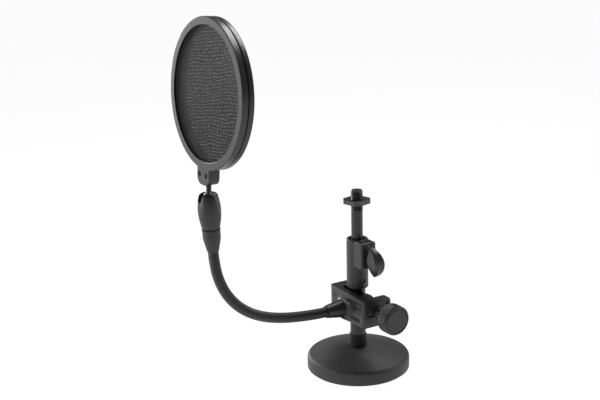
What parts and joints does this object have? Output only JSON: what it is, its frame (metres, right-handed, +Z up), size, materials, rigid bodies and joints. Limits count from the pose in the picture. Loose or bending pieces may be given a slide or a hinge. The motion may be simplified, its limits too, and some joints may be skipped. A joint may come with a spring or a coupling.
{
  "type": "pop filter",
  "caption": "Double-screen pop filter on a gooseneck, clamped to its own weighted desk stand with a height clutch and a threaded rod.",
  "frame": {"origin": "centre of the rubber pad's underside, on the desk", "axes": "+Z up along the rod, -Y towards the talker and along the gooseneck, +X along the clamp screw towards its knob"},
  "size_m": [0.156, 0.2558, 0.4211],
  "materials": {
    "painted_iron": "black textured paint on cast iron",
    "tube_paint": "semi-gloss black powder coat",
    "moulded_plastic": "fine-grained black moulding",
    "hoop_plastic": "satin black moulding",
    "black_plastic": "matte black",
    "cap_plastic": "satin dark grey moulding",
    "nylon": "plain black nylon",
    "rubber": "matte black rubber",
    "black_steel": "black-oxide steel",
    "gooseneck_coating": "black sleeve over a steel coil",
    "screen_nylon": "woven black nylon"
  },
  "bodies": {
    "stand": {"base_pad": "rubber", "base_casting": "painted_iron", "base_washer": "black_steel", "base_nut": "black_steel", "tube_plug": "black_steel", "foot_collar": "black_plastic", "lower_tube": "tube_paint", "clutch_body": "moulded_plastic", "clutch_bush": "nylon", "clutch_shoe": "nylon", "clutch_grub_screw": "black_steel"},
    "thumb": {"thumb_wing": "moulded_plastic", "thumb_screw": "black_steel", "thumb_washer": "black_steel"},
    "rod": {"upper_rod": "tube_paint", "rod_thread": "black_steel", "rod_guide": "nylon"},
    "lock_nut": {"lock_nut": "black_steel"},
    "clamp": {"clamp_frame": "moulded_plastic", "fixed_jaw_rubber": "rubber", "clamp_insert": "black_steel", "lower_ferrule": "moulded_plastic", "gooseneck_1": "gooseneck_coating"},
    "jaw": {"moving_jaw": "moulded_plastic", "moving_jaw_rubber": "rubber"},
    "clamp_screw": {"clamp_screw": "black_steel", "clamp_knob": "moulded_plastic", "knob_cap": "cap_plastic"},
    "goose_2": {"gooseneck_2": "gooseneck_coating"},
    "goose_3": {"gooseneck_3": "gooseneck_coating"},
    "goose_4": {"gooseneck_4": "gooseneck_coating"},
    "goose_5": {"gooseneck_5": "gooseneck_coating"},
    "goose_6": {"gooseneck_6": "gooseneck_coating"},
    "goose_7": {"gooseneck_7": "gooseneck_coating"},
    "goose_8": {"gooseneck_8": "gooseneck_coating"},
    "neck": {"gooseneck_9": "gooseneck_coating", "upper_ferrule": "moulded_plastic", "joint_ring": "black_plastic", "barrel_spigot": "black_steel", "ball_cup": "nylon"},
    "barrel": {"swivel_barrel": "moulded_plastic"},
    "ball": {"ball_stud": "black_steel"},
    "hoop": {"hoop_front": "hoop_plastic", "hoop_rear": "hoop_plastic", "screen_front": "screen_nylon", "screen_rear": "screen_nylon", "screen_retainer_front": "hoop_plastic", "screen_retainer_rear": "hoop_plastic", "boss_block": "hoop_plastic", "boss_screw_left": "black_steel", "boss_screw_right": "black_steel"}
  },
  "joints": [
    {"name": "rod_height", "type": "slide", "parent": "stand", "child": "rod", "axis": [0, 0, 1], "range_m": [-0.032, 0.03]},
    {"name": "lock_nut_turn", "type": "hinge", "parent": "rod", "child": "lock_nut", "pos_m": [0, 0, 0.2002], "axis": [0, 0, 1], "continuous": true},
    {"name": "thumb_screw_turn", "type": "hinge", "parent": "stand", "child": "thumb", "pos_m": [0, 0, 0.1364], "axis": [1, 0, 0], "range_deg": [0, 270]},
    {"name": "clamp_swing", "type": "hinge", "parent": "stand", "child": "clamp", "pos_m": [0, 0, 0.0805], "axis": [0, 0, 1], "continuous": true},
    {"name": "jaw_slide", "type": "slide", "parent": "clamp", "child": "jaw", "axis": [1, 0, 0], "range_m": [0, 0.015]},
    {"name": "clamp_knob_turn", "type": "hinge", "parent": "jaw", "child": "clamp_screw", "pos_m": [0.06, 0, 0.0805], "axis": [1, 0, 0], "range_deg": [0, 2700]},
    {"name": "gooseneck_bend_1", "type": "hinge", "parent": "clamp", "child": "goose_2", "pos_m": [0, -0.06507, 0.07803], "axis": [-1, 0, 0], "range_deg": [-10, 8]},
    {"name": "gooseneck_sway_2", "type": "hinge", "parent": "goose_2", "child": "goose_3", "pos_m": [0, -0.08653, 0.08048], "axis": [0, 0.1392, 0.9903], "range_deg": [-14, 14]},
    {"name": "gooseneck_bend_3", "type": "hinge", "parent": "goose_3", "child": "goose_4", "pos_m": [0, -0.10772, 0.0846], "axis": [-1, 0, 0], "range_deg": [-10, 8]},
    {"name": "gooseneck_bend_4", "type": "hinge", "parent": "goose_4", "child": "goose_5", "pos_m": [0, -0.12818, 0.09144], "axis": [-1, 0, 0], "range_deg": [-10, 8]},
    {"name": "gooseneck_bend_5", "type": "hinge", "parent": "goose_5", "child": "goose_6", "pos_m": [0, -0.14694, 0.10206], "axis": [-1, 0, 0], "range_deg": [-10, 8]},
    {"name": "gooseneck_sway_6", "type": "hinge", "parent": "goose_6", "child": "goose_7", "pos_m": [0, -0.16256, 0.11688], "axis": [0, 0.7771, 0.6293], "range_deg": [-14, 14]},
    {"name": "gooseneck_bend_7", "type": "hinge", "parent": "goose_7", "child": "goose_8", "pos_m": [0, -0.17382, 0.13525], "axis": [-1, 0, 0], "range_deg": [-10, 8]},
    {"name": "gooseneck_bend_8", "type": "hinge", "parent": "goose_8", "child": "neck", "pos_m": [0, -0.18012, 0.15585], "axis": [-1, 0, 0], "range_deg": [-10, 8]},
    {"name": "barrel_turn", "type": "hinge", "parent": "neck", "child": "barrel", "pos_m": [0, -0.1851, 0.23495], "axis": [0, -0.0454, 0.999], "continuous": true},
    {"name": "ball_tilt", "type": "hinge", "parent": "barrel", "child": "ball", "pos_m": [0, -0.1851, 0.23495], "axis": [-1, 0, 0], "range_deg": [-84, 16]},
    {"name": "hoop_turn", "type": "hinge", "parent": "ball", "child": "hoop", "pos_m": [0, -0.1851, 0.23495], "axis": [0, 0.0698, 0.9976], "range_deg": [-180, 180]}
  ],
  "couplings": [
    {"joint": "jaw_slide", "follows": "clamp_knob_turn", "m_per_rad": 0.000318}
  ]
}
